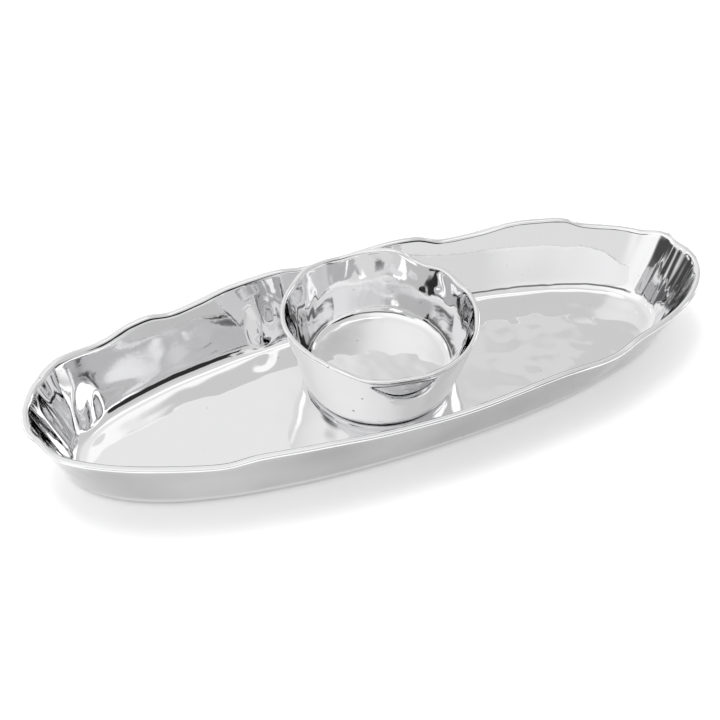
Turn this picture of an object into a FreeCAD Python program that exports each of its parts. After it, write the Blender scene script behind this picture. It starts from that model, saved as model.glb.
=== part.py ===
"""Chip and dip server: a long oval serving tray with a separate round dip bowl that stands in its middle.

Both pieces are polished aluminium castings with a hand-formed rim: the wall flares outwards,
and its lip rises, falls, bulges and pulls in all the way round.

Frame, in millimetres: the origin is the middle of the tray's underside, +X runs along the tray,
+Y across it and +Z up. An angle of 0 degrees looks along +X and turns towards +Y.
"""
import FreeCAD
import Part
import os
from math import cos, hypot, radians, sin

FIX_TOLERANCE = 1e-4

# ---- tray ----
TRAY_LENGTH = 500.0          # over the lip
TRAY_WIDTH = 184.0
TRAY_FOOT_LENGTH = 462.0     # the wall's line carried down to the table
TRAY_FOOT_WIDTH = 141.5
TRAY_RIM_POWER = 2.24        # 2 is an ellipse, more is squarer
TRAY_FOOT_POWER = 2.14
TRAY_WALL = 5.0
TRAY_FLOOR = 4.0
TRAY_OUTER_EDGE = 5.5        # rounding where the wall meets the underside
TRAY_INNER_EDGE = 7.5        # fillet where the wall meets the floor
TRAY_SECTIONS = 200          # upright sections round the oval
TRAY_WALL_POLES = 7          # control points up each side of the wall

# Crests and dips of the tray's lip: angle in degrees, height above the table, bulge outwards.
TRAY_RIM = [
    (0, 55.0, 0.3), (7, 53.5, 0.3), (15, 55.0, 0.8), (26, 51.3, -0.8), (42, 51.8, -0.8),
    (46, 55.5, 1.0), (53, 56.0, 1.2), (58, 55.0, 0.8), (64, 51.3, -0.8), (71.5, 49.5, -1.2),
    (75.5, 55.0, 0.8), (80, 56.0, 0.8), (88, 53.5, 0.3), (97, 52.0, -0.3), (102, 55.3, 0.8),
    (111, 54.3, 0.3), (117, 51.5, -1.0), (122, 50.3, -1.2), (126.5, 54.3, 0.9), (130, 54.3, 0.6),
    (136, 52.0, -0.6), (149, 57.5, 2.2), (159, 56.0, 1.0), (171, 54.5, 0.3), (184, 55.0, 0.0),
    (194, 56.5, -1.5), (204, 54.3, 0.2), (214, 55.0, 0.2), (226, 54.7, 0.3), (237, 52.7, 0.8),
    (243, 55.3, -0.5), (252, 54.7, -0.2), (264, 52.5, 0.6), (273, 51.7, 0.6), (290, 53.9, -0.3),
    (302, 50.1, 1.5), (309, 53.3, -0.4), (324, 52.9, 0.2), (340, 53.7, 0.5), (352, 55.5, 0.3),
]
# How far the foot stands out of its plain oval: angle, bulge.
TRAY_FOOT = [(0, -6.0), (30, -2.0), (60, 0.0), (150, 1.0), (195, -1.0), (228, 2.2), (258, 1.5), (285, 0.0),
             (330, -1.0)]
# How much larger the inner fillet is: angle, extra radius.
TRAY_EDGE = [(0, 0.0), (100, 0.0), (128, 3.5), (160, 3.5), (185, 0.0), (300, 0.0)]

# ---- dip bowl ----
BOWL_CENTRE = (-1.7, 8.5)    # stands a little behind the tray's middle
BOWL_RIM_RADIUS = 69.8       # over the lip
BOWL_LINE_RADIUS = 54.8      # the wall's line carried down to the tray's floor
BOWL_WALL = 3.8
BOWL_FLOOR = 10.0            # inner floor above the foot's underside
BOWL_INNER_EDGE = 9.0        # fillet where the wall meets the inner floor
BOWL_SECTIONS = 96
BOWL_WALL_POLES = 10
FOOT_RING_INNER = 41.5       # the foot ring runs from here out to the wall's rounded bottom edge
FOOT_RECESS = 5.0            # hollow inside the ring

# Crests and dips of the bowl's lip: angle in degrees, height above its foot, bulge outwards.
BOWL_RIM = [
    (0, 57.5, 0.0), (10, 56.5, -0.6), (23, 57.7, 0.0), (38, 55.7, -1.0), (47, 57.3, -0.6),
    (55, 61.5, 0.6), (63, 62.3, 0.8), (93, 60.5, -0.4), (104, 61.7, 0.2), (122, 63.3, 0.8),
    (136, 61.9, 0.1), (165, 62.1, 0.3), (188, 63.3, -0.4), (212, 63.5, -0.8), (228, 61.5, -0.4),
    (240, 59.0, 0.4), (262, 57.5, -1.2), (284, 56.9, 0.6), (300, 56.7, 0.8), (320, 57.3, 0.3),
    (345, 58.8, -0.2),
]
# A thumb-sized hollow pressed into the outside, just under the lip.
DENT_ANGLE, DENT_HALF_ANGLE = 261.0, 19.0
DENT_BELOW_RIM, DENT_HALF_HEIGHT = 8.0, 8.0
DENT_DEPTH, DENT_DEPTH_INSIDE = 2.4, 1.0


def wave(stations, column, angle):
    """Value at an angle on the closed curve through the stations, level at each crest and dip."""
    count = len(stations)
    angle %= 360.0
    first = max(i for i in range(count) if stations[i][0] <= angle)

    def station(i):
        turn, place = divmod(i, count)
        return stations[place][0] + 360.0 * turn, stations[place][column]

    def slope(i):
        (x0, y0), (x1, y1), (x2, y2) = station(i - 1), station(i), station(i + 1)
        before, after = (y1 - y0) / (x1 - x0), (y2 - y1) / (x2 - x1)
        return 0.0 if before * after <= 0 else 2 * before * after / (before + after)

    (x0, y0), (x1, y1) = station(first), station(first + 1)
    span = x1 - x0
    s = (angle - x0) / span
    return (y0 * (1 + 2 * s) * (1 - s) ** 2 + span * slope(first) * s * (1 - s) ** 2
            + y1 * s * s * (3 - 2 * s) - span * slope(first + 1) * s * s * (1 - s))


def oval(length, width, power, angle):
    """Point of a squared-off ellipse."""
    c, s = cos(radians(angle)), sin(radians(angle))
    scale = (abs(c) ** power + abs(s) ** power) ** (-1.0 / power)
    return length / 2 * c * scale, width / 2 * s * scale


def bulged_oval(length, width, power, angle, bulge):
    """Point of the ellipse moved outwards by bulge, and the outward direction there."""
    x0, y0 = oval(length, width, power, angle - 0.5)
    x1, y1 = oval(length, width, power, angle + 0.5)
    run = hypot(x1 - x0, y1 - y0)
    side = ((y1 - y0) / run, (x0 - x1) / run)
    x, y = oval(length, width, power, angle)
    return (x + bulge * side[0], y + bulge * side[1]), side


def upright_section(foot, rim, side, height, base, wall, floor, inner_edge, wall_poles, dents=(None, None)):
    """Control points of one section: the base's (inset, z) pairs, the outside, the lip and the inside.

    An inset is measured inwards from the wall's outer line, which runs from foot to rim.
    """
    def place(inset, z, dent=None):
        s = z / height
        inset += dent(z) if dent else 0.0
        return FreeCAD.Vector(foot[0] + (rim[0] - foot[0]) * s - inset * side[0],
                              foot[1] + (rim[1] - foot[1]) * s - inset * side[1], z)

    top = height - 1.1 * wall
    low_outside, low_inside = base[-1][1], floor + 1.2 * inner_edge
    steps = [i / wall_poles for i in range(1, wall_poles + 1)]
    points = [place(*pair) for pair in base]
    points += [place(0.0, low_outside + (top - low_outside) * s, dents[0]) for s in steps]
    points += [place(-0.02 * wall, height - 0.36 * wall, dents[0]), place(0.05 * wall, height - 0.03 * wall),
               place(0.5 * wall, height + 0.08 * wall),
               place(0.95 * wall, height - 0.03 * wall), place(1.02 * wall, height - 0.36 * wall)]
    points += [place(wall, low_inside + (top - low_inside) * s, dents[1]) for s in reversed(steps)]
    points += [place(wall + inset * inner_edge, floor + rise * inner_edge)
               for inset, rise in ((0, 0.7), (0.08, 0.32), (0.32, 0.08), (0.7, 0), (1.1, 0), (1.5, 0))]
    return points


def tray_section(angle):
    rim, _ = bulged_oval(TRAY_LENGTH, TRAY_WIDTH, TRAY_RIM_POWER, angle, wave(TRAY_RIM, 2, angle))
    foot, side = bulged_oval(TRAY_FOOT_LENGTH, TRAY_FOOT_WIDTH, TRAY_FOOT_POWER, angle,
                             wave(TRAY_FOOT, 1, angle))
    edge = TRAY_OUTER_EDGE
    base = [(1.6 * edge, 0), (1.1 * edge, 0), (0.6 * edge, 0), (0.12 * edge, 0.12 * edge), (0, 0.7 * edge)]
    return upright_section(foot, rim, side, wave(TRAY_RIM, 1, angle), base,
                           TRAY_WALL, TRAY_FLOOR, TRAY_INNER_EDGE + wave(TRAY_EDGE, 1, angle), TRAY_WALL_POLES)


def bowl_dent(angle, height, depth):
    """How far the dent pushes a point of the wall inwards, as a function of its z."""
    across = abs((angle - DENT_ANGLE + 180.0) % 360.0 - 180.0) / DENT_HALF_ANGLE

    def push(z):
        up = abs(z - (height - DENT_BELOW_RIM)) / DENT_HALF_HEIGHT
        away = across ** 2 + up ** 2
        return depth * (1 - away) ** 2 if away < 1 else 0.0
    return push


def bowl_section(angle):
    side = (cos(radians(angle)), sin(radians(angle)))
    foot = tuple(BOWL_LINE_RADIUS * part for part in side)
    rim = tuple((BOWL_RIM_RADIUS + wave(BOWL_RIM, 2, angle)) * part for part in side)
    height = wave(BOWL_RIM, 1, angle)
    profile = [(FOOT_RING_INNER - 5.0, FOOT_RECESS), (FOOT_RING_INNER - 2.5, FOOT_RECESS),
               (FOOT_RING_INNER - 0.5, FOOT_RECESS - 0.5), (FOOT_RING_INNER, 0.5 * FOOT_RECESS),
               (FOOT_RING_INNER + 0.4, 0.4)]
    profile += [(FOOT_RING_INNER + 1.6 + 0.8 * i, 0.0) for i in range(8)]
    base = [(BOWL_LINE_RADIUS - radius, z) for radius, z in profile]
    base += [(4.6, 0.1), (2.4, 1.0), (0.8, 3.0), (0.0, 7.0)]
    dents = (bowl_dent(angle, height, DENT_DEPTH), bowl_dent(angle, height, DENT_DEPTH_INSIDE))
    points = upright_section(foot, rim, side, height, base, BOWL_WALL, BOWL_FLOOR, BOWL_INNER_EDGE,
                             BOWL_WALL_POLES, dents)
    stand = FreeCAD.Vector(BOWL_CENTRE[0], BOWL_CENTRE[1], TRAY_FLOOR)
    return [point + stand for point in points]


def closed_solid(section, count):
    """Solid of one smooth skin through the sections all the way round, with a flat face at each end of them."""
    rows = [section(360.0 * i / count) for i in range(count)]
    spans = len(rows[0]) - 3
    skin = Part.BSplineSurface()
    skin.buildFromPolesMultsKnots(rows, [1] * (count + 1), [4] + [1] * (spans - 1) + [4],
                                  list(range(count + 1)), list(range(spans + 1)), True, False, 3, 3)
    wall = skin.toShape()
    rings = [edge for edge in wall.Edges if edge.isClosed()]
    faces = [wall] + [Part.Face(Part.Wire([ring])) for ring in rings]
    solid = Part.Solid(Part.Shell(faces))
    solid.fix(FIX_TOLERANCE, FIX_TOLERANCE, FIX_TOLERANCE)
    return solid


def report(name, shape):
    box = shape.BoundBox
    print(f"{name}: valid {shape.isValid()}, solids {len(shape.Solids)}, volume {shape.Volume / 1000:.1f} cm3, "
          f"x {box.XMin:.1f}..{box.XMax:.1f}, y {box.YMin:.1f}..{box.YMax:.1f}, z {box.ZMin:.2f}..{box.ZMax:.2f}")


parts = {
    "oval_tray": closed_solid(tray_section, TRAY_SECTIONS),
    "dip_bowl": closed_solid(bowl_section, BOWL_SECTIONS),
}
os.makedirs("parts", exist_ok=True)
for name, shape in parts.items():
    report(name, shape)
    shape.exportStep(f"parts/{name}.step")
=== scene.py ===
"""Looks of the chip and dip server: two polished aluminium castings on a pale table, in metres.

Both castings are rebuilt here from the same rim, foot and section as the CAD model, with finer
ripples, dents and polishing marks than it holds. Shapes are worked out in millimetres first.
"""
import bpy
import numpy as np
from math import atan2, cos, degrees, hypot, pi, radians, sin
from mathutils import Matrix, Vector, noise


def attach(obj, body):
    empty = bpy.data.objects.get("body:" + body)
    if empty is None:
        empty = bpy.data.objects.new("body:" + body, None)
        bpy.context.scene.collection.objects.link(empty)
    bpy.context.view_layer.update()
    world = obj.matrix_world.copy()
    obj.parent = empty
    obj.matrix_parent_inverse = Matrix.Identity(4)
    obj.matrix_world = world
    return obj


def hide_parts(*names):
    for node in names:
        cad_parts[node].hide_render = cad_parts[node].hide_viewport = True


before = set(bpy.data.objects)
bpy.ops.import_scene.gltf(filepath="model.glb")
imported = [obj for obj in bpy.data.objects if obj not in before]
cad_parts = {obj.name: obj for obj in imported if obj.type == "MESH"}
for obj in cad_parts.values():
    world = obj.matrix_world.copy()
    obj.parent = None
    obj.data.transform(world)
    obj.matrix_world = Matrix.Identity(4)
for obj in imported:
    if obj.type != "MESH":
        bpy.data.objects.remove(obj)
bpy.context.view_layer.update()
MM = 0.001

# ---- the shapes, as in the CAD model ----
TRAY_LENGTH, TRAY_WIDTH, TRAY_RIM_POWER = 500.0, 184.0, 2.24
TRAY_FOOT_LENGTH, TRAY_FOOT_WIDTH, TRAY_FOOT_POWER = 462.0, 141.5, 2.14
TRAY_WALL, TRAY_FLOOR, TRAY_OUTER_EDGE, TRAY_INNER_EDGE = 5.0, 4.0, 5.5, 7.5
TRAY_SECTIONS, TRAY_WALL_POLES = 200, 7
BOWL_CENTRE = (-1.7, 8.5)
BOWL_RIM_RADIUS, BOWL_LINE_RADIUS = 69.8, 54.8
BOWL_WALL, BOWL_FLOOR, BOWL_INNER_EDGE = 3.8, 10.0, 9.0
BOWL_SECTIONS, BOWL_WALL_POLES = 96, 10
FOOT_RING_INNER, FOOT_RECESS = 41.5, 5.0
DENT_ANGLE, DENT_HALF_ANGLE, DENT_BELOW_RIM, DENT_HALF_HEIGHT = 261.0, 19.0, 8.0, 8.0
DENT_DEPTH_INSIDE = 1.0

# Crests and dips of each lip: angle in degrees, height, bulge outwards.
TRAY_RIM = [
    (0, 55.0, 0.3), (7, 53.5, 0.3), (15, 55.0, 0.8), (26, 51.3, -0.8), (42, 51.8, -0.8),
    (46, 55.5, 1.0), (53, 56.0, 1.2), (58, 55.0, 0.8), (64, 51.3, -0.8), (71.5, 49.5, -1.2),
    (75.5, 55.0, 0.8), (80, 56.0, 0.8), (88, 53.5, 0.3), (97, 52.0, -0.3), (102, 55.3, 0.8),
    (111, 54.3, 0.3), (117, 51.5, -1.0), (122, 50.3, -1.2), (126.5, 54.3, 0.9), (130, 54.3, 0.6),
    (136, 52.0, -0.6), (149, 57.5, 2.2), (159, 56.0, 1.0), (171, 54.5, 0.3), (184, 55.0, 0.0),
    (194, 56.5, -1.5), (204, 54.3, 0.2), (214, 55.0, 0.2), (226, 54.7, 0.3), (237, 52.7, 0.8),
    (243, 55.3, -0.5), (252, 54.7, -0.2), (264, 52.5, 0.6), (273, 51.7, 0.6), (290, 53.9, -0.3),
    (302, 50.1, 1.5), (309, 53.3, -0.4), (324, 52.9, 0.2), (340, 53.7, 0.5), (352, 55.5, 0.3),
]
# Angle in degrees and bulge outwards of the underside's edge.
TRAY_FOOT = [
    (0, -6.0), (30, -2.0), (60, 0.0), (150, 1.0), (195, -1.0), (228, 2.2), (258, 1.5), (285, 0.0),
    (330, -1.0),
]
# Angle in degrees and how much larger the rounded edge of the floor is there.
TRAY_EDGE = [(0, 0.0), (100, 0.0), (128, 3.5), (160, 3.5), (185, 0.0), (300, 0.0)]
BOWL_RIM = [
    (0, 57.5, 0.0), (10, 56.5, -0.6), (23, 57.7, 0.0), (38, 55.7, -1.0), (47, 57.3, -0.6),
    (55, 61.5, 0.6), (63, 62.3, 0.8), (93, 60.5, -0.4), (104, 61.7, 0.2), (122, 63.3, 0.8),
    (136, 61.9, 0.1), (165, 62.1, 0.3), (188, 63.3, -0.4), (212, 63.5, -0.8), (228, 61.5, -0.4),
    (240, 59.0, 0.4), (262, 57.5, -1.2), (284, 56.9, 0.6), (300, 56.7, 0.8), (320, 57.3, 0.3),
    (345, 58.8, -0.2),
]

# Control points over the lip, as inset and rise in wall thicknesses, and down to the floor, as inset and
# rise in sizes of the floor's rounded edge.
LIP_POINTS = ((-0.02, -0.36), (0.05, -0.03), (0.5, 0.08), (0.95, -0.03), (1.02, -0.36))
FLOOR_EDGE_POINTS = ((0, 0.7), (0.08, 0.32), (0.32, 0.08), (0.7, 0), (1.1, 0), (1.5, 0))
LIP_START, FLOOR_EDGE_START = 1.1, 1.2


def wave(stations, column, angle):
    """Value at an angle on the closed curve through the stations, level at each crest and dip."""
    count = len(stations)
    angle %= 360.0
    first = max(i for i in range(count) if stations[i][0] <= angle)

    def station(i):
        turn, place = divmod(i, count)
        return stations[place][0] + 360.0 * turn, stations[place][column]

    def slope(i):
        (x0, y0), (x1, y1), (x2, y2) = station(i - 1), station(i), station(i + 1)
        before, after = (y1 - y0) / (x1 - x0), (y2 - y1) / (x2 - x1)
        return 0.0 if before * after <= 0 else 2 * before * after / (before + after)

    (x0, y0), (x1, y1) = station(first), station(first + 1)
    span = x1 - x0
    s = (angle - x0) / span
    return (y0 * (1 + 2 * s) * (1 - s) ** 2 + span * slope(first) * s * (1 - s) ** 2
            + y1 * s * s * (3 - 2 * s) - span * slope(first + 1) * s * s * (1 - s))


def oval(length, width, power, angle):
    """Point of a superellipse at an angle from its centre."""
    c, s = cos(radians(angle)), sin(radians(angle))
    scale = (abs(c) ** power + abs(s) ** power) ** (-1.0 / power)
    return length / 2 * c * scale, width / 2 * s * scale


def bulged_oval(length, width, power, angle, bulge):
    """Point of the superellipse pushed outwards by bulge, and the outward direction there."""
    x0, y0 = oval(length, width, power, angle - 0.5)
    x1, y1 = oval(length, width, power, angle + 0.5)
    run = hypot(x1 - x0, y1 - y0)
    side = ((y1 - y0) / run, (x0 - x1) / run)
    x, y = oval(length, width, power, angle)
    return (x + bulge * side[0], y + bulge * side[1]), side


def upright_section(foot, rim, side, height, base, wall, floor, inner_edge, wall_poles, inner_dent=None):
    """Control points of one section, from the underside's edge over the lip to the floor's edge."""
    def place(inset, z, dent=None):
        s = z / height
        inset += dent(z) if dent else 0.0
        return (foot[0] + (rim[0] - foot[0]) * s - inset * side[0],
                foot[1] + (rim[1] - foot[1]) * s - inset * side[1], z)

    top = height - LIP_START * wall
    low_outside, low_inside = base[-1][1], floor + FLOOR_EDGE_START * inner_edge
    steps = [i / wall_poles for i in range(1, wall_poles + 1)]
    points = [place(*pair) for pair in base]
    points += [place(0.0, low_outside + (top - low_outside) * s) for s in steps]
    points += [place(inset * wall, height + rise * wall) for inset, rise in LIP_POINTS]
    points += [place(wall, low_inside + (top - low_inside) * s, inner_dent) for s in reversed(steps)]
    points += [place(wall + inset * inner_edge, floor + rise * inner_edge)
               for inset, rise in FLOOR_EDGE_POINTS]
    return points


def tray_section(angle):
    """The tray's section at an angle: flared wall on the smaller flat underside."""
    rim, _ = bulged_oval(TRAY_LENGTH, TRAY_WIDTH, TRAY_RIM_POWER, angle, wave(TRAY_RIM, 2, angle))
    foot, side = bulged_oval(TRAY_FOOT_LENGTH, TRAY_FOOT_WIDTH, TRAY_FOOT_POWER, angle,
                             wave(TRAY_FOOT, 1, angle))
    edge = TRAY_OUTER_EDGE
    base = [(1.6 * edge, 0), (1.1 * edge, 0), (0.6 * edge, 0), (0.12 * edge, 0.12 * edge), (0, 0.7 * edge)]
    inner_edge = TRAY_INNER_EDGE + wave(TRAY_EDGE, 1, angle)
    return upright_section(foot, rim, side, wave(TRAY_RIM, 1, angle), base,
                           TRAY_WALL, TRAY_FLOOR, inner_edge, TRAY_WALL_POLES)


def bowl_dent(angle, height, depth):
    """Inset at each height for the rounded dent below the bowl's front lip."""
    across = abs((angle - DENT_ANGLE + 180.0) % 360.0 - 180.0) / DENT_HALF_ANGLE

    def push(z):
        up = abs(z - (height - DENT_BELOW_RIM)) / DENT_HALF_HEIGHT
        away = across ** 2 + up ** 2
        return depth * (1 - away) ** 2 if away < 1 else 0.0
    return push


def bowl_section(angle):
    """The bowl's section at an angle: foot ring, flared wall and the dent inside the front lip."""
    side = (cos(radians(angle)), sin(radians(angle)))
    foot = tuple(BOWL_LINE_RADIUS * part for part in side)
    rim = tuple((BOWL_RIM_RADIUS + wave(BOWL_RIM, 2, angle)) * part for part in side)
    height = wave(BOWL_RIM, 1, angle)
    ring_side = [(FOOT_RING_INNER - 5.0, FOOT_RECESS), (FOOT_RING_INNER - 2.5, FOOT_RECESS),
                 (FOOT_RING_INNER - 0.5, FOOT_RECESS - 0.5), (FOOT_RING_INNER, 0.5 * FOOT_RECESS),
                 (FOOT_RING_INNER + 0.4, 0.4)]
    ring_base = [(FOOT_RING_INNER + 1.6 + 0.8 * i, 0.0) for i in range(8)]
    base = [(BOWL_LINE_RADIUS - radius, z) for radius, z in ring_side + ring_base]
    base += [(4.6, 0.1), (2.4, 1.0), (0.8, 3.0), (0.0, 7.0)]
    dent = bowl_dent(angle, height, DENT_DEPTH_INSIDE)
    points = upright_section(foot, rim, side, height, base, BOWL_WALL, BOWL_FLOOR, BOWL_INNER_EDGE,
                             BOWL_WALL_POLES, dent)
    return [(x + BOWL_CENTRE[0], y + BOWL_CENTRE[1], z + TRAY_FLOOR) for x, y, z in points]


# ---- from sections to a mesh ----
def closed_weights(count, steps):
    """Weights of a closed uniform cubic B-spline: one row a sample, steps samples a span."""
    weights = np.zeros((count * steps, count))
    for i in range(count):
        for k in range(steps):
            f = k / steps
            basis = ((1 - f) ** 3, 3 * f ** 3 - 6 * f ** 2 + 4,
                     -3 * f ** 3 + 3 * f ** 2 + 3 * f + 1, f ** 3)
            for j, value in enumerate(basis):
                weights[i * steps + k, (i + j - 1) % count] += value / 6
    return weights


def open_weights(count, steps):
    """Weights of a clamped uniform cubic B-spline, its ends included."""
    spans = count - 3
    knots = [0] * 3 + list(range(spans + 1)) + [spans] * 3
    rows = []
    for sample in range(spans * steps + 1):
        u = sample / steps
        k = min(int(u), spans - 1) + 3
        local = [1.0]
        for degree in (1, 2, 3):
            wider = [0.0] * (degree + 1)
            for i, value in enumerate(local):
                low, high = knots[k - degree + 1 + i], knots[k + 1 + i]
                wider[i] += value * (high - u) / (high - low)
                wider[i + 1] += value * (u - low) / (high - low)
            local = wider
        row = np.zeros(count)
        row[k - 3:k + 1] = local
        rows.append(row)
    return np.array(rows)


def cap_rings(outline, rings, focus):
    """Rings that close a flat oval from its outline down to a slit of half-length focus."""
    centre = outline.mean(axis=0)
    turns = np.arange(len(outline)) * 2 * pi / len(outline)
    slit = np.tile(centre, (len(outline), 1))
    slit[:, 0] += focus * np.cos(turns)
    return [outline + (slit - outline) * s for s in np.linspace(0, 1, rings + 1)[1:]]


def casting_mesh(name, section, sections, around, up, floor_rings, under_rings, focus):
    """One closed casting: underside, outside, lip, inside and floor as a single skin of quads."""
    poles = np.array([section(360.0 * i / sections) for i in range(sections)])
    round_weights, section_weights = closed_weights(sections, around), open_weights(poles.shape[1], up)
    skin = np.einsum("ai,ijk,bj->bak", round_weights, poles, section_weights)
    rings = cap_rings(skin[0], under_rings, focus)[::-1] + list(skin)
    rings += cap_rings(skin[-1], floor_rings, focus)
    count = len(rings[0])
    points = np.concatenate(rings)
    last = len(rings) - 1

    def vertex(ring, i):
        i %= count
        if ring in (0, last):
            i = min(i, (count - i) % count)
        return ring * count + i

    faces = []
    for ring in range(last):
        for i in range(count):
            corners = (vertex(ring, i), vertex(ring, i + 1), vertex(ring + 1, i + 1), vertex(ring + 1, i))
            corners = tuple(dict.fromkeys(corners))
            if len(corners) > 2:
                faces.append(corners)
    used, renamed = np.unique(np.array([v for face in faces for v in face]), return_inverse=True)
    flat = iter(renamed.tolist())
    faces = [tuple(next(flat) for _ in face) for face in faces]
    mesh = bpy.data.meshes.new(name)
    mesh.from_pydata((points[used] * MM).tolist(), [], faces)
    mesh.validate()
    mesh.polygons.foreach_set("use_smooth", [True] * len(mesh.polygons))
    return mesh


def shape_along_normals(mesh, depth_at):
    """Moves every vertex along its normal by depth_at(point in mm, normal), in millimetres."""
    count = len(mesh.vertices)
    points, normals = np.zeros(count * 3), np.zeros(count * 3)
    mesh.vertices.foreach_get("co", points)
    mesh.vertex_normals.foreach_get("vector", normals)
    points, normals = points.reshape(-1, 3), normals.reshape(-1, 3)
    depths = np.array([depth_at(Vector(p), Vector(n)) for p, n in zip(points / MM, normals)])
    points += normals * depths[:, None] * MM
    mesh.vertices.foreach_set("co", points.ravel())
    mesh.update()


def smooth_step(low, high, value):
    """0 below low, 1 above high, and an S-curve between."""
    s = min(max((value - low) / (high - low), 0.0), 1.0)
    return s * s * (3 - 2 * s)


# Hand-worked hollows in the tray's back wall: x, height, half-width, half-height and depth, in mm.
# A depth below zero is a swelling.
HOLLOWS = [
    (-150, 28, 30, 14, 0.22), (-120, 31, 14, 12, 0.16), (-130, 18, 22, 9, -0.15),
    (-72, 20, 13, 26, -2.2), (-208, 14, 12, 26, -2.0),
]
# The tray's hand finish: depth in mm, and the size in mm of each kind of mark.
BROAD_DEPTH, CALM_DEPTH, RIDGE_DEPTH, STRAND_DEPTH, RAGGED_DEPTH = 0.16, 0.12, 0.7, 0.8, 0.6
FLOOR_DEPTH, SWIRL_DEPTH = 0.25, 0.4
BROAD_SIZE, RAGGED_SIZE, FLOOR_SIZE_LONG, FLOOR_SIZE_ACROSS, FLOOR_FINE_SIZE = 34, 7, 34, 24, 13
# The ridges and finer strands round the tray's ends: how close together, how much they lean with height,
# how far they run upwards, and the parts of the half-length where they start and are full.
RIDGE_CLOSENESS, RIDGE_LEAN, RIDGE_LENGTH, STRAND_FINENESS, STRAND_LENGTH = 5, 90, 60, 2.9, 45
ENDS_FROM, ENDS_FULL = 0.84, 0.95
# How far apart the noise of the inside and the outside is read, so that they differ.
SIDE_SHIFT, BOWL_SIDE_SHIFT = 300, 20
# A face is upright where its normal's z is under the first, and level over the second.
LEVEL_FROM, LEVEL_TO = 0.45, 0.95
# The bowl's hand finish: depths inside at the back, what the wrinkles add elsewhere, outside and floor.
BACK_BROAD, BACK_RIDGES, WRINKLED_BROAD, WRINKLED_RIDGES = 0.4, 0.05, 0.45, 0.25
OUTSIDE_BROAD, OUTSIDE_RIDGES, BOWL_FLOOR_DEPTH = 0.35, 0.06, 0.22
BOWL_MARKS_ROUND, BOWL_MARK_HEIGHT, BOWL_FLOOR_SIZE, BOWL_FLOOR_FINE_SIZE = 3.2, 26, 15, 7
# The smooth back of the bowl: its middle, and how far from it the wrinkles start and are full, in degrees.
BOWL_BACK_ANGLE, WRINKLES_FROM, WRINKLES_FULL = 79, 26, 46

# The scoop outside the bowl's front lip: its depth, where it starts and is full below the lip, and how
# far down it runs at its sides and how much further in its middle.
SCOOP_DEPTH, SCOOP_TOP, SCOOP_FULL, SCOOP_REACH, SCOOP_EXTRA_REACH = 1.7, 2.8, 5.5, 5.5, 12.0


def hollow(across, up):
    """Depth of a round hollow, 1 in its middle and 0 from its edge outwards."""
    away = across * across + up * up
    return (1 - away) ** 2 if away < 1 else 0.0


def hollows_at(point):
    return sum(depth * hollow((point.x - x) / wide, (point.z - z) / tall)
               for x, z, wide, tall, depth in HOLLOWS)


def tray_depth(point, normal):
    """Hand-finished surface of the tray: hollows and swellings in the back wall, upright ridges and
    strands round the ends, a ragged floor edge, and swirls that are deeper in the floor's right half."""
    if point.z < 1.0 and normal.z < -0.5:
        return 0.0
    half_length, half_width = TRAY_LENGTH / 2, TRAY_WIDTH / 2
    upright = 1 - smooth_step(LEVEL_FROM, LEVEL_TO, abs(normal.z))
    outwards = normal.x * point.x / half_length ** 2 + normal.y * point.y / half_width ** 2
    inside = 1.0 if outwards < 0 else -1.0
    side = point + Vector((0, 0, SIDE_SHIFT * inside))
    broad = noise.noise(side / BROAD_SIZE)
    run = atan2(point.y / TRAY_WIDTH, point.x / TRAY_LENGTH)
    end = smooth_step(ENDS_FROM, ENDS_FULL, abs(point.x) / half_length)
    lean = run * RIDGE_CLOSENESS + point.z / RIDGE_LEAN * (1 if point.x < 0 else -1)
    ridges = noise.noise(Vector((lean, point.z / RIDGE_LENGTH, 9 * inside)))
    strands = noise.noise(Vector((lean * STRAND_FINENESS, point.z / STRAND_LENGTH, 5 * inside)))
    calm = smooth_step(20, 90, point.x) * smooth_step(10, 50, point.y) * (1 - end)
    walls = (BROAD_DEPTH - CALM_DEPTH * calm) * broad
    walls += end * (RIDGE_DEPTH * ridges + STRAND_DEPTH * strands)
    if inside > 0 and point.y > 0:
        walls -= hollows_at(point)
    tear = noise.noise(Vector((point.x / RAGGED_SIZE, point.y / RAGGED_SIZE, 11)))
    ragged = upright * (1 - upright) * tear
    flat = noise.noise(Vector((point.x / FLOOR_SIZE_LONG, point.y / FLOOR_SIZE_ACROSS, 4)))
    flat += 0.35 * noise.noise(Vector((point.x / FLOOR_FINE_SIZE, point.y / FLOOR_FINE_SIZE, 8)))
    swirls = FLOOR_DEPTH + SWIRL_DEPTH * smooth_step(60, 110, point.x)
    return upright * walls + RAGGED_DEPTH * ragged + (1 - upright) * swirls * flat


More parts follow.
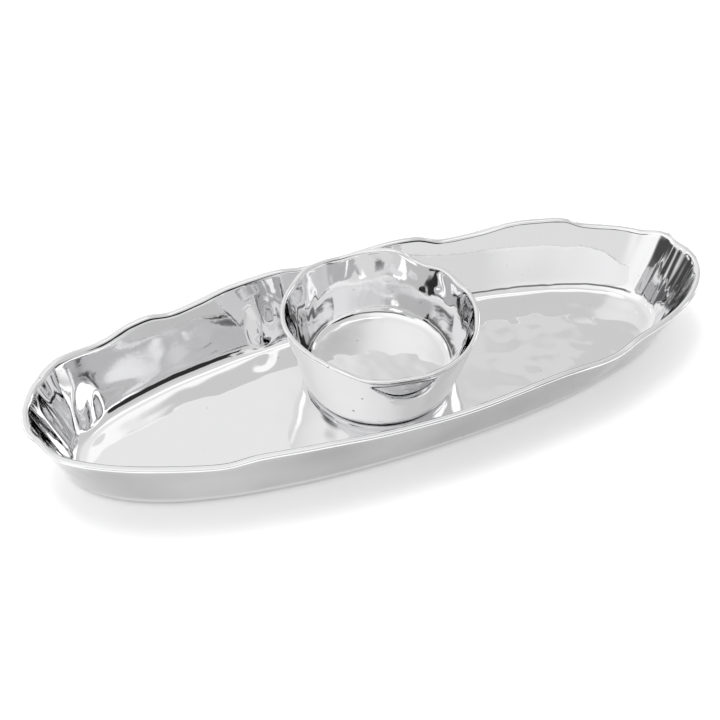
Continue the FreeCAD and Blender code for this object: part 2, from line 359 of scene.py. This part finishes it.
def bowl_depth(point, normal):
    """Hand-finished surface of the bowl: wrinkles inside, smoother at the back, and the thumb scoop."""
    local = point - Vector((BOWL_CENTRE[0], BOWL_CENTRE[1], TRAY_FLOOR))
    if local.z < FOOT_RECESS:
        return 0.0
    upright = 1 - smooth_step(LEVEL_FROM, LEVEL_TO, abs(normal.z))
    inside = normal.x * local.x + normal.y * local.y < 0
    angle = degrees(atan2(local.y, local.x))
    turn = Vector((local.x, local.y, 0)).normalized() * BOWL_MARKS_ROUND
    lift = Vector((0, 0, local.z / BOWL_MARK_HEIGHT + (BOWL_SIDE_SHIFT if inside else 0)))
    broad = noise.noise(turn * 0.8 + lift * 1.1)
    ridges = noise.noise(turn * 1.7 + lift * 1.5 + Vector((broad, broad, 5)))
    flat = noise.noise(local / BOWL_FLOOR_SIZE + Vector((3, 1, 2)))
    flat += 0.4 * noise.noise(local / BOWL_FLOOR_FINE_SIZE)
    if inside:
        wrinkled = smooth_step(WRINKLES_FROM, WRINKLES_FULL, abs(angle - BOWL_BACK_ANGLE))
        walls = (BACK_BROAD + WRINKLED_BROAD * wrinkled) * broad
        walls += (BACK_RIDGES + WRINKLED_RIDGES * wrinkled) * ridges
    else:
        walls = OUTSIDE_BROAD * broad + OUTSIDE_RIDGES * ridges - thumb_scoop(angle % 360, local.z)
    return upright * walls + (1 - upright) * BOWL_FLOOR_DEPTH * flat


def thumb_scoop(angle, height):
    """Scoop under the bowl's front lip: deepest just under the lip, running out to a crisp lower edge."""
    across = (angle - DENT_ANGLE) / DENT_HALF_ANGLE
    if abs(across) >= 1:
        return 0.0
    below = wave(BOWL_RIM, 1, angle) - height
    lowest = SCOOP_REACH + SCOOP_EXTRA_REACH * (1 - across ** 2)
    fade = min(max((lowest - below) / (lowest - 5.0), 0.0), 1.0)
    return SCOOP_DEPTH * (1 - across ** 2) ** 0.7 * fade * smooth_step(SCOOP_TOP, SCOOP_FULL, below)


# ---- materials ----
# Colours of the metal, of pores and the painted contact shade along the bottom edges, and of the
# painted shade on each casting's downward-facing outside.
METAL_COLOUR = (0.85, 0.85, 0.855, 1)
PORE_AND_CONTACT_SHADE_COLOUR = (0.22, 0.22, 0.23, 1)
TRAY_SHADED_OUTSIDE_COLOUR = (0.45, 0.45, 0.455, 1)
BOWL_SHADED_OUTSIDE_COLOUR = (0.80, 0.80, 0.805, 1)
# Heights in metres: the top of the painted contact shade along the bottom edges, and where the painted
# shade on the outside starts and is full.
TRAY_CONTACT_SHADE_BELOW, BOWL_CONTACT_SHADE_BELOW = 0.0028, 0.0060
OUTSIDE_SHADE_FROM, OUTSIDE_SHADE_FULL = 0.006, 0.010
MARK_ROUGHNESS = 0.3
FINE_BUMP_STRENGTH, FINE_BUMP_DISTANCE = 0.25, 0.00004
TABLE_COLOUR, TABLE_GLOW, TABLE_GLOW_STRENGTH = (0.9, 0.9, 0.9, 1), (1, 1, 1, 1), 0.26


def polished_aluminium(name, seed, contact_shade_below, shaded_outside_colour):
    """Polished cast aluminium with soft patches of gloss, rubbing marks and pores. Its downward-facing
    outer walls get a painted shade, uneven in patches, and everything below the given height in metres is
    painted dark as contact shade and made rougher."""
    material = bpy.data.materials.new(name)
    material.use_nodes = True
    nodes, links = material.node_tree.nodes, material.node_tree.links
    shader = nodes["Principled BSDF"]
    shader.inputs["Metallic"].default_value = 1.0

    place = nodes.new("ShaderNodeTexCoord")
    shift = nodes.new("ShaderNodeVectorMath")
    shift.inputs[1].default_value = (seed, seed * 2, 0)
    links.new(place.outputs["Object"], shift.inputs[0])

    def noise_at(scale, detail, stretch=None):
        source = shift.outputs[0]
        if stretch:
            mapping = nodes.new("ShaderNodeMapping")
            mapping.inputs["Scale"].default_value = stretch
            mapping.inputs["Rotation"].default_value = (0.3, 0.2, 0.6)
            links.new(source, mapping.inputs["Vector"])
            source = mapping.outputs[0]
        node = nodes.new("ShaderNodeTexNoise")
        node.inputs["Scale"].default_value = scale
        node.inputs["Detail"].default_value = detail
        links.new(source, node.inputs["Vector"])
        return node.outputs["Fac"]

    def remap(source, low, high, to_low, to_high):
        node = nodes.new("ShaderNodeMapRange")
        limits = (("From Min", low), ("From Max", high), ("To Min", to_low), ("To Max", to_high))
        for key, value in limits:
            node.inputs[key].default_value = value
        links.new(source, node.inputs["Value"])
        return node.outputs["Result"]

    def math(operation, a, b):
        node = nodes.new("ShaderNodeMath")
        node.operation = operation
        for socket, value in zip(node.inputs, (a, b)):
            if isinstance(value, float):
                socket.default_value = value
            else:
                links.new(value, socket)
        return node.outputs[0]

    patches = noise_at(scale=22.0, detail=3.0)
    rubbing = noise_at(scale=420.0, detail=2.0, stretch=(1.0, 0.06, 1.0))
    pores = remap(noise_at(scale=260.0, detail=1.0), 0.79, 0.83, 0.0, 1.0)

    split = nodes.new("ShaderNodeSeparateXYZ")
    links.new(place.outputs["Object"], split.inputs[0])
    # Painted contact shade: below the given height the casting is painted dark, as the shade where it
    # stands.
    contact_shade = remap(split.outputs["Z"], contact_shade_below, contact_shade_below * 0.6, 0.0, 1.0)
    pores_and_contact_shade = math("MAXIMUM", pores, contact_shade)

    gloss = math("ADD", remap(patches, 0.35, 0.7, 0.02, 0.045), remap(rubbing, 0.45, 0.75, 0.0, 0.03))
    roughness = math("ADD", gloss, math("MULTIPLY", pores_and_contact_shade, MARK_ROUGHNESS))
    links.new(roughness, shader.inputs["Roughness"])

    facing = nodes.new("ShaderNodeSeparateXYZ")
    links.new(nodes.new("ShaderNodeNewGeometry").outputs["Normal"], facing.inputs[0])
    # Painted shade on the downward-facing outer walls, uneven in patches, kept off the band just above the
    # foot.
    outside_shade = remap(facing.outputs["Z"], -0.08, -0.25, 0.0, 1.0)
    above_foot = remap(split.outputs["Z"], OUTSIDE_SHADE_FROM, OUTSIDE_SHADE_FULL, 0.0, 1.0)
    outside_shade = math("MULTIPLY", outside_shade, above_foot)
    shade_patches = remap(noise_at(scale=9.0, detail=2.0), 0.35, 0.65, 0.5, 1.0)
    outside_shade = math("MULTIPLY", outside_shade, shade_patches)

    def mix(a, b, factor):
        node = nodes.new("ShaderNodeMix")
        node.data_type = "RGBA"
        for key, value in (("A", a), ("B", b)):
            if isinstance(value, tuple):
                node.inputs[key].default_value = value
            else:
                links.new(value, node.inputs[key])
        links.new(factor, node.inputs["Factor"])
        return node.outputs["Result"]

    # Metal colour darkened by the painted outside shade, then by the pores and the painted contact shade.
    colour = mix(METAL_COLOUR, shaded_outside_colour, outside_shade)
    links.new(mix(colour, PORE_AND_CONTACT_SHADE_COLOUR, pores_and_contact_shade), shader.inputs["Base Color"])

    bump = nodes.new("ShaderNodeBump")
    bump.inputs["Strength"].default_value = FINE_BUMP_STRENGTH
    bump.inputs["Distance"].default_value = FINE_BUMP_DISTANCE
    links.new(math("SUBTRACT", rubbing, math("MULTIPLY", pores, 2.0)), bump.inputs["Height"])
    links.new(bump.outputs["Normal"], shader.inputs["Normal"])
    return material


def pale_floor():
    """The table: matt and near white, with a faint glow that keeps it pale all over."""
    material = bpy.data.materials.new("pale_floor")
    material.use_nodes = True
    shader = material.node_tree.nodes["Principled BSDF"]
    shader.inputs["Base Color"].default_value = TABLE_COLOUR
    shader.inputs["Emission Color"].default_value = TABLE_GLOW
    shader.inputs["Emission Strength"].default_value = TABLE_GLOW_STRENGTH
    shader.inputs["Roughness"].default_value = 0.9
    shader.inputs["Specular IOR Level"].default_value = 0.1
    return material


# ---- the two castings ----
def add_casting(name, mesh, material, node, body):
    """Puts a casting on its body, in place of its CAD node."""
    piece = bpy.data.objects.new(name, mesh)
    bpy.context.scene.collection.objects.link(piece)
    mesh.materials.append(material)
    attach(piece, body)
    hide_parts(node)


tray_mesh = casting_mesh("tray_casting", tray_section, TRAY_SECTIONS, around=3, up=3,
                         floor_rings=26, under_rings=14, focus=215.0)
shape_along_normals(tray_mesh, tray_depth)
bowl_mesh = casting_mesh("bowl_casting", bowl_section, BOWL_SECTIONS, around=5, up=3,
                         floor_rings=16, under_rings=8, focus=14.0)
shape_along_normals(bowl_mesh, bowl_depth)
tray_metal = polished_aluminium("tray_metal", 0.0, TRAY_CONTACT_SHADE_BELOW, TRAY_SHADED_OUTSIDE_COLOUR)
bowl_metal = polished_aluminium("bowl_metal", 3.0, BOWL_CONTACT_SHADE_BELOW, BOWL_SHADED_OUTSIDE_COLOUR)
add_casting("tray_casting", tray_mesh, tray_metal, "oval_tray", "tray")
add_casting("bowl_casting", bowl_mesh, bowl_metal, "dip_bowl", "bowl")


# ---- table, light and camera ----
TABLE_HALF = 40.0

# Patches of the room: azimuth (0 is +Y) and elevation in degrees, the degrees off that line at which the
# patch starts and is full, and its brightness. Each is laid over the ones before it.
CANOPY_BRIGHTNESS = 0.87
SOFT_PATCHES = [
    (42.0, 37.0, 23.0, 5.0, 0.65), (34.0, 41.5, 4.0, 2.0, 0.73), (110.0, 25.0, 62.0, 30.0, 0.64),
    (-105.0, 45.0, 56.0, 16.0, 1.08), (65.0, 75.0, 13.0, 8.0, 1.20), (115.0, 77.0, 12.0, 7.0, 0.74),
    (-170.0, 5.0, 40.0, 25.0, 0.79),
]
# A dark gap at the front right, and a dark low wall at the left.
DARK_PATCHES = [(147.0, 26.0, 18.0, 15.0, 0.03), (-85.0, 2.0, 25.0, 14.0, 0.07)]
# The lamps at the right and at the back left.
LAMPS = [(70.0, 27.0, 15.0, 8.0, 1.60), (-31.0, 29.0, 9.5, 4.0, 1.45)]

# The camera's side of the room and the room round the horizon: where each lies, and its brightness.
DARK_BAND_FACES, DARK_BAND_BRIGHTNESS = (-165.0, 30.0, 48.0, 38.0), 0.20
DARK_BAND_FOOT, DARK_BAND_TOP = (0.36, 0.44), (0.70, 0.60)
HORIZON_FACES, HORIZON_TOP, HORIZON_BRIGHTNESS = (35.0, 0.0, 100.0, 88.0), (0.13, 0.09), 0.12

CAMERA_AZIMUTH, CAMERA_ELEVATION, CAMERA_DISTANCE = -21.7, 43.37, 0.7158
CAMERA_TARGET = (-0.0182, 0.0055, 0.0255)
EXPOSURE = 0.1


def add_floor():
    """The table is large enough to reach the horizon in low views."""
    mesh = bpy.data.meshes.new("table")
    corners = [(x * TABLE_HALF, y * TABLE_HALF, 0) for x, y in ((-1, -1), (1, -1), (1, 1), (-1, 1))]
    mesh.from_pydata(corners, [], [(0, 1, 2, 3)])
    floor = bpy.data.objects.new("table", mesh)
    bpy.context.scene.collection.objects.link(floor)
    mesh.materials.append(pale_floor())


def add_world():
    """Soft studio: a bright canopy overhead, darker patches on the camera's side and round the horizon,
    and a lamp at the right and one at the back left."""
    world = bpy.data.worlds.new("studio")
    bpy.context.scene.world = world
    world.use_nodes = True
    nodes, links = world.node_tree.nodes, world.node_tree.links
    sight = nodes.new("ShaderNodeTexCoord").outputs["Generated"]

    def towards(azimuth, elevation, low, high):
        """0 to 1 as the line of sight turns from low to high degrees off a direction; azimuth 0 is +Y."""
        node = nodes.new("ShaderNodeVectorMath")
        node.operation = "DOT_PRODUCT"
        a, e = radians(azimuth), radians(elevation)
        node.inputs[1].default_value = (sin(a) * cos(e), cos(a) * cos(e), sin(e))
        links.new(sight, node.inputs[0])
        return soft_range(node.outputs["Value"], cos(radians(low)), cos(radians(high)))

    def soft_range(value, low, high):
        node = nodes.new("ShaderNodeMapRange")
        node.interpolation_type = "SMOOTHSTEP"
        node.inputs["From Min"].default_value = low
        node.inputs["From Max"].default_value = high
        links.new(value, node.inputs["Value"])
        return node.outputs["Result"]

    def blend(factor, a, b):
        node = nodes.new("ShaderNodeMix")
        links.new(factor, node.inputs["Factor"])
        for socket, value in zip((node.inputs["A"], node.inputs["B"]), (a, b)):
            if isinstance(value, float):
                socket.default_value = value
            else:
                links.new(value, socket)
        return node.outputs["Result"]

    def product(a, b):
        node = nodes.new("ShaderNodeMath")
        node.operation = "MULTIPLY"
        links.new(a, node.inputs[0])
        links.new(b, node.inputs[1])
        return node.outputs[0]

    split = nodes.new("ShaderNodeSeparateXYZ")
    links.new(sight, split.inputs[0])
    height = split.outputs["Z"]
    light = CANOPY_BRIGHTNESS
    for *line, brightness in SOFT_PATCHES:
        light = blend(towards(*line), light, brightness)
    band = product(soft_range(height, *DARK_BAND_FOOT), soft_range(height, *DARK_BAND_TOP))
    light = blend(product(band, towards(*DARK_BAND_FACES)), light, DARK_BAND_BRIGHTNESS)
    for *line, brightness in DARK_PATCHES:
        light = blend(towards(*line), light, brightness)
    horizon = product(soft_range(height, *HORIZON_TOP), towards(*HORIZON_FACES))
    light = blend(horizon, light, HORIZON_BRIGHTNESS)
    for *line, brightness in LAMPS:
        light = blend(towards(*line), light, brightness)
    links.new(light, nodes["Background"].inputs["Color"])


def add_softbox(name, place, aim, width, depth, watts):
    light = bpy.data.lights.new(name, "AREA")
    light.shape, light.size, light.size_y, light.energy = "RECTANGLE", width, depth, watts
    box = bpy.data.objects.new(name, light)
    box.location = place
    box.rotation_euler = (Vector(aim) - Vector(place)).to_track_quat("-Z", "Y").to_euler()
    box.visible_glossy = False
    bpy.context.scene.collection.objects.link(box)


def add_camera():
    azimuth, elevation = radians(CAMERA_AZIMUTH), radians(CAMERA_ELEVATION)
    back = Vector((sin(azimuth) * cos(elevation), -cos(azimuth) * cos(elevation), sin(elevation)))
    data = bpy.data.cameras.new("camera")
    data.lens, data.sensor_width = 50.0, 36.0
    camera = bpy.data.objects.new("camera", data)
    camera.location = Vector(CAMERA_TARGET) + back * CAMERA_DISTANCE
    camera.rotation_euler = back.to_track_quat("Z", "Y").to_euler()
    bpy.context.scene.collection.objects.link(camera)
    bpy.context.scene.camera = camera


add_floor()
add_world()
add_softbox("window", place=(-0.24, 0.36, 1.9), aim=(0, 0, 0), width=0.8, depth=0.8, watts=12)
add_camera()
bpy.context.scene.view_settings.view_transform = "Standard"
bpy.context.scene.view_settings.exposure = EXPOSURE
